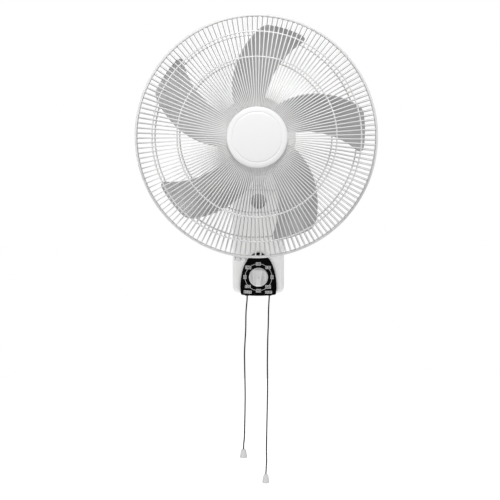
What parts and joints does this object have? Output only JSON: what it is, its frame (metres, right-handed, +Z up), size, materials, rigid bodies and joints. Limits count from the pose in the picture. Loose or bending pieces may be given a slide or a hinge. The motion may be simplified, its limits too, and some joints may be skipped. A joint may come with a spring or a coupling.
{
  "type": "wall mounted fan",
  "caption": "Wall mounted fan with a round wire guard, grey impeller, swinging and tilting head, arched control panel with timer knob, and pull cords with bell pulls.",
  "frame": {"origin": "middle of the wall plate's back face, on the wall; the swing spindle stands above it in X = 0", "axes": "+Z up, +Y into the wall, so the fan blows towards -Y, and +X to the right as seen from the front; the fan hangs on a wall and its cords hang below the origin"},
  "size_m": [0.45, 0.3656, 0.9326],
  "materials": {
    "white_plastic": "satin moulded",
    "white_wire": "white powder coat on steel wire",
    "grey_blade": "satin moulded",
    "black_gloss": "high gloss",
    "knob_grey": "satin moulded",
    "cord_black": "round braid",
    "steel": "zinc plated",
    "cast_metal": "painted casting",
    "copper": "enamelled winding wire, copper",
    "dark_plastic": "moulded",
    "nylon": "natural nylon"
  },
  "bodies": {
    "base": {"wall_plate": "steel", "housing_front": "white_plastic", "housing_back": "white_plastic", "housing_screw_1": "steel", "housing_screw_2": "steel", "housing_screw_3": "steel", "housing_screw_4": "steel", "access_plug": "dark_plastic", "control_panel": "black_gloss", "timer_unit": "dark_plastic", "speed_switch": "dark_plastic", "swing_switch": "dark_plastic", "speed_spring": "steel", "swing_spring": "steel", "speed_cord_gland": "dark_plastic", "swing_cord_gland": "dark_plastic", "terminal_block": "nylon", "run_capacitor": "dark_plastic", "mains_inlet_gland": "dark_plastic", "swing_motor": "steel", "neck_bush": "nylon"},
    "timer_dial": {"timer_knob": "knob_grey", "timer_spindle": "steel"},
    "speed_pull": {"speed_plunger": "nylon", "speed_cord": "cord_black", "speed_bell": "knob_grey"},
    "swing_pull": {"swing_plunger": "nylon", "swing_cord": "cord_black", "swing_bell": "knob_grey"},
    "crank": {"swing_crank": "nylon"},
    "neck": {"neck_yoke": "white_plastic", "swing_arm": "steel", "swing_arm_screw": "steel", "tilt_pin": "steel"},
    "tilt_clamp": {"tilt_knob": "white_plastic"},
    "head": {"tilt_bracket": "cast_metal", "motor_rear_shell": "white_plastic", "motor_front_shell": "cast_metal", "stator_core": "steel", "winding_rear": "copper", "winding_front": "copper", "rear_bearing": "steel", "front_bearing": "steel", "guard_nut": "dark_plastic", "rear_guard": "white_wire", "front_guard": "white_wire", "rim_band": "white_wire", "rim_screw": "steel", "centre_cap": "white_plastic"},
    "fan_rotor": {"motor_shaft": "steel", "rotor": "steel", "impeller": "grey_blade", "spinner": "white_plastic"}
  },
  "joints": [
    {"name": "head_swing", "type": "hinge", "parent": "base", "child": "neck", "pos_m": [0, -0.048, 0.106], "axis": [0, 0, 1], "range_deg": [-40, 40]},
    {"name": "crank_turn", "type": "hinge", "parent": "base", "child": "crank", "pos_m": [0, -0.032, 0.076], "axis": [0, 0, 1], "range_deg": [-90, 90]},
    {"name": "head_tilt", "type": "hinge", "parent": "neck", "child": "head", "pos_m": [0, -0.088, 0.124], "axis": [1, 0, 0], "range_deg": [-10, 25]},
    {"name": "tilt_clamp_turn", "type": "hinge", "parent": "neck", "child": "tilt_clamp", "pos_m": [0.043, -0.088, 0.124], "axis": [1, 0, 0], "range_deg": [-90, 90]},
    {"name": "blade_spin", "type": "hinge", "parent": "head", "child": "fan_rotor", "pos_m": [-0.007, -0.268, 0.214], "axis": [0, 1, 0], "continuous": true},
    {"name": "timer_turn", "type": "hinge", "parent": "base", "child": "timer_dial", "pos_m": [0, -0.1, -0.0711], "axis": [0, 1, 0], "range_deg": [0, 315]},
    {"name": "speed_pull_slide", "type": "slide", "parent": "base", "child": "speed_pull", "axis": [0, 0, -1], "range_m": [0, 0.015], "stiffness_N_per_m": 400, "springref_m": -0.01, "deforming": ["speed_spring"]},
    {"name": "swing_pull_slide", "type": "slide", "parent": "base", "child": "swing_pull", "axis": [0, 0, -1], "range_m": [0, 0.015], "stiffness_N_per_m": 400, "springref_m": -0.01, "deforming": ["swing_spring"]}
  ],
  "couplings": [
    {"joint": "crank_turn", "follows": "head_swing", "ratio": 2.25}
  ]
}
